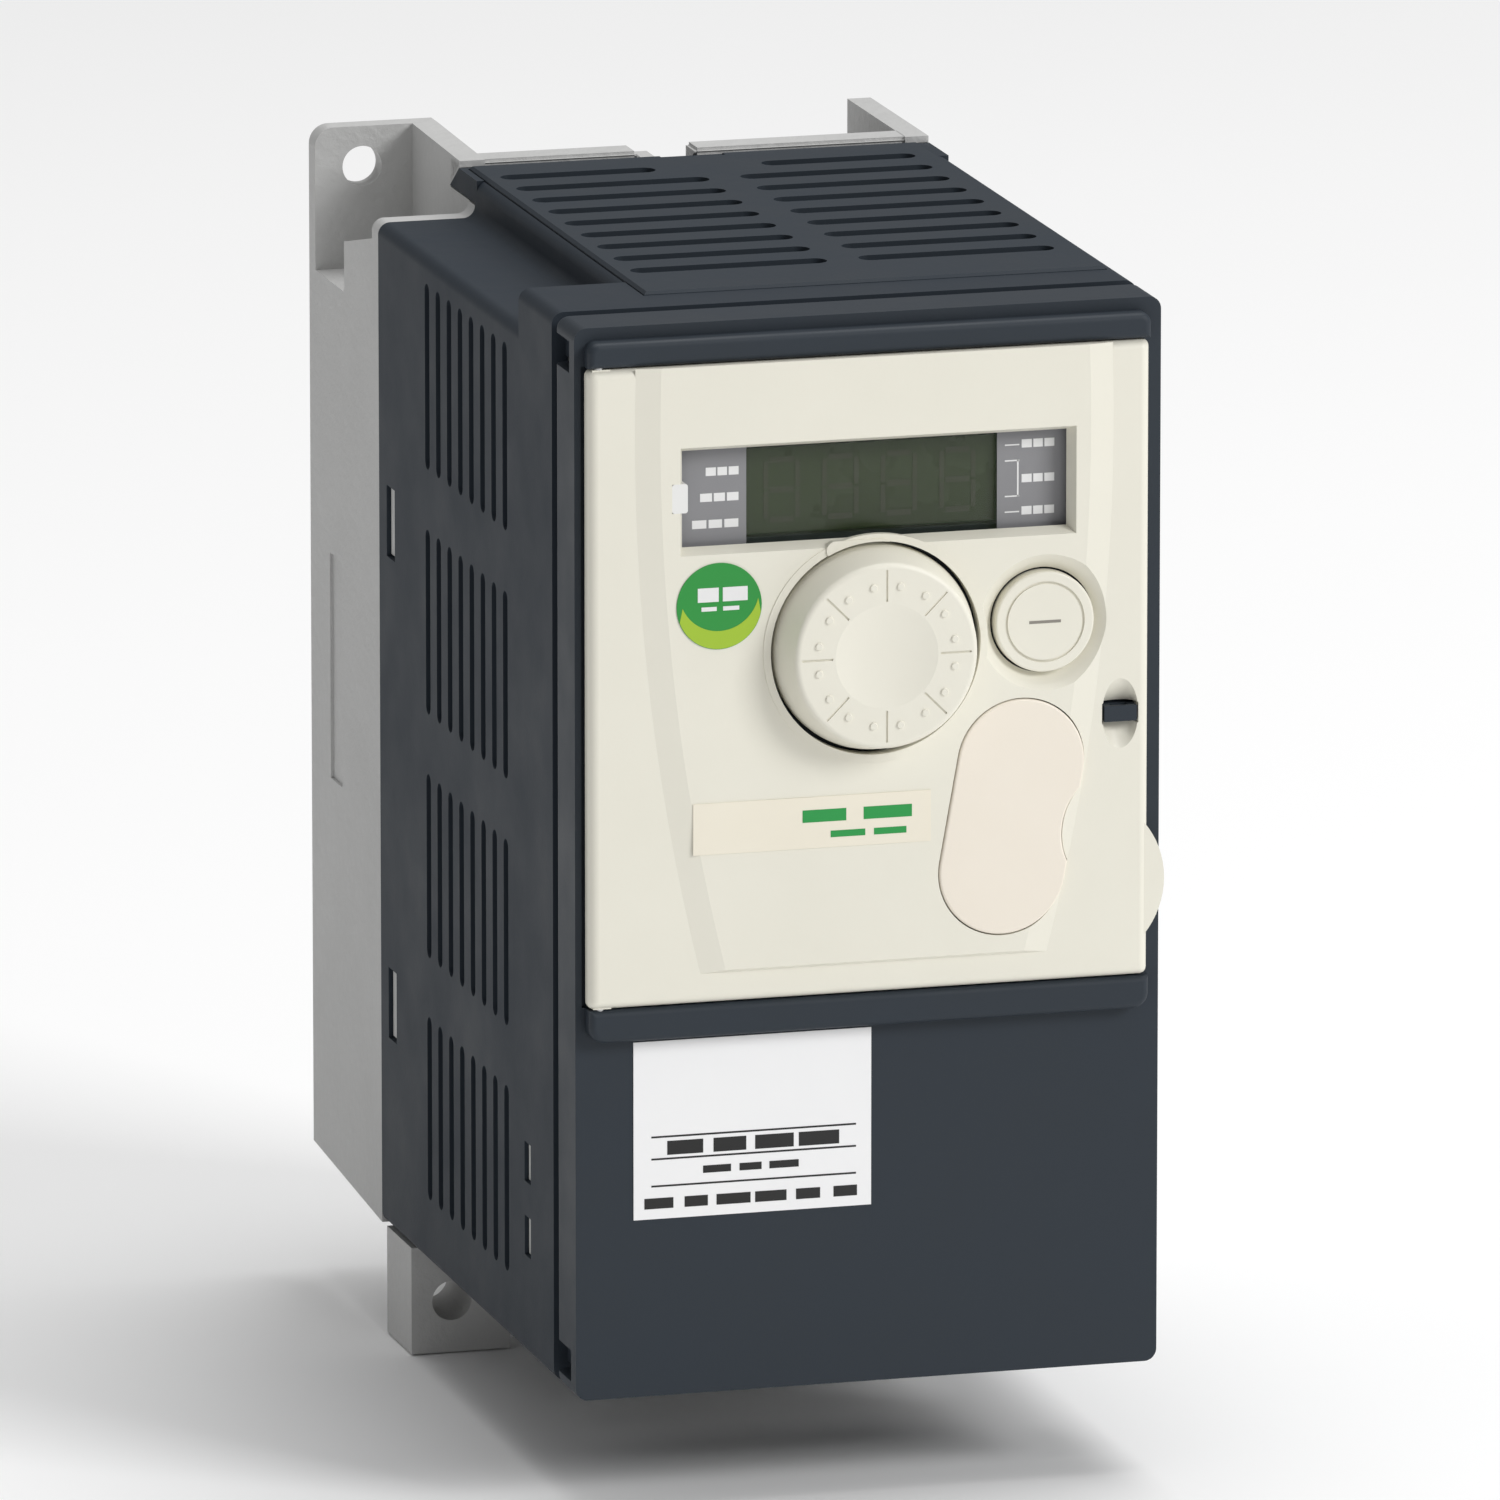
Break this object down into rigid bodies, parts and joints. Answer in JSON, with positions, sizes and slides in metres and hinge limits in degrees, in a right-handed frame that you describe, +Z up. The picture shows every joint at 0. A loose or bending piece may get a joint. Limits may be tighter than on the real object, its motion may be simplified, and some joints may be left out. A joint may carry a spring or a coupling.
{
  "type": "variable frequency drive",
  "caption": "Compact wall-mounted motor speed controller with a finned casting behind it, a hinged front door, a hinged operator cover and a turning push dial.",
  "frame": {"origin": "midway between the two fixing holes, on the wall plane", "axes": "+X to the right of someone facing the drive, +Y into the wall, +Z up"},
  "size_m": [0.072, 0.1322, 0.1451],
  "materials": {
    "cast_aluminium": "sand-cast, tumbled, as cast",
    "housing_plastic": "glass-filled, fine spark-eroded texture",
    "vent_plastic": "fine texture, satin",
    "door_plastic": "fine texture, satin",
    "cover_plastic": "fine texture, satin",
    "cream_plastic": "moulded, satin",
    "blank_plastic": "moulded, satin",
    "strip_film": "satin film",
    "dot_label": "printed film",
    "rating_film": "printed film",
    "lens_tint": "smoke tinted, gloss",
    "legend_film": "printed film",
    "clear_plastic": "milky, gloss",
    "display_glass": "gloss",
    "led_resin": "clear resin",
    "board_laminate": "solder mask",
    "chip_epoxy": "moulded epoxy",
    "pin_steel": "ground",
    "screw_steel": "zinc plated",
    "spacer_brass": "turned",
    "carrier_plastic": "moulded, satin",
    "terminal_green": "moulded",
    "terminal_black": "moulded",
    "can_sleeve": "shrink sleeve",
    "choke_core": "lacquered copper turns",
    "film_box": "moulded box",
    "relay_case": "moulded box",
    "winding_tape": "taped winding",
    "socket_metal": "tinned shield"
  },
  "bodies": {
    "chassis": {"heat_sink": "cast_aluminium", "housing": "housing_plastic", "vent_cover": "vent_plastic", "carrier": "carrier_plastic", "control_board": "board_laminate", "control_chips": "chip_epoxy", "control_terminals": "terminal_green", "control_terminal_screws": "screw_steel", "network_socket": "socket_metal", "board_spacers": "spacer_brass", "board_screws": "screw_steel", "power_board": "board_laminate", "power_module": "chip_epoxy", "module_screws": "screw_steel", "bus_capacitors": "can_sleeve", "filter_choke": "choke_core", "filter_capacitors": "film_box", "relay": "relay_case", "transformer": "winding_tape", "power_terminals": "terminal_black", "power_terminal_screws": "screw_steel", "board_connector": "terminal_black", "earth_screws": "screw_steel"},
    "door": {"front_door": "door_plastic", "door_hinge_pins": "pin_steel", "display_window": "lens_tint", "legend_plates": "legend_film", "display_module": "display_glass", "indicator_leds": "led_resin", "hmi_board": "board_laminate", "hmi_board_screws": "screw_steel", "key_switches": "chip_epoxy", "encoder_body": "terminal_black", "rating_label": "rating_film"},
    "operator_cover": {"hmi_cover": "cover_plastic", "cover_hinge_pins": "pin_steel", "key_blank": "blank_plastic", "name_strip": "strip_film", "round_label": "dot_label", "light_pipe": "clear_plastic"},
    "dial_push": {"push_plate": "pin_steel"},
    "dial": {"dial_shaft": "pin_steel", "dial_knob": "cream_plastic"},
    "esc_key": {"esc_key": "cream_plastic"},
    "mode_key": {"mode_key": "cream_plastic"},
    "stop_key": {"stop_key": "cream_plastic"},
    "run_key": {"run_key": "cream_plastic"}
  },
  "joints": [
    {"name": "door_hinge", "type": "hinge", "parent": "chassis", "child": "door", "pos_m": [-0.0324, -0.1184, 0], "axis": [0, 0, -1], "range_deg": [0, 95]},
    {"name": "cover_hinge", "type": "hinge", "parent": "door", "child": "operator_cover", "pos_m": [-0.0334, -0.1253, 0], "axis": [0, 0, -1], "range_deg": [0, 110]},
    {"name": "dial_press", "type": "slide", "parent": "door", "child": "dial_push", "axis": [0, 1, 0], "range_m": [0, 0.0006], "stiffness_N_per_m": 1500},
    {"name": "dial_turn", "type": "hinge", "parent": "dial_push", "child": "dial", "pos_m": [0, -0.128, 0.0247], "axis": [0, 1, 0], "continuous": true},
    {"name": "esc_press", "type": "slide", "parent": "door", "child": "esc_key", "axis": [0, 1, 0], "range_m": [0, 0.0006], "stiffness_N_per_m": 600},
    {"name": "mode_press", "type": "slide", "parent": "door", "child": "mode_key", "axis": [0, 1, 0], "range_m": [0, 0.0006], "stiffness_N_per_m": 600},
    {"name": "stop_press", "type": "slide", "parent": "door", "child": "stop_key", "axis": [0, 1, 0], "range_m": [0, 0.0006], "stiffness_N_per_m": 600},
    {"name": "run_press", "type": "slide", "parent": "door", "child": "run_key", "axis": [0, 1, 0], "range_m": [0, 0.0006], "stiffness_N_per_m": 600}
  ]
}
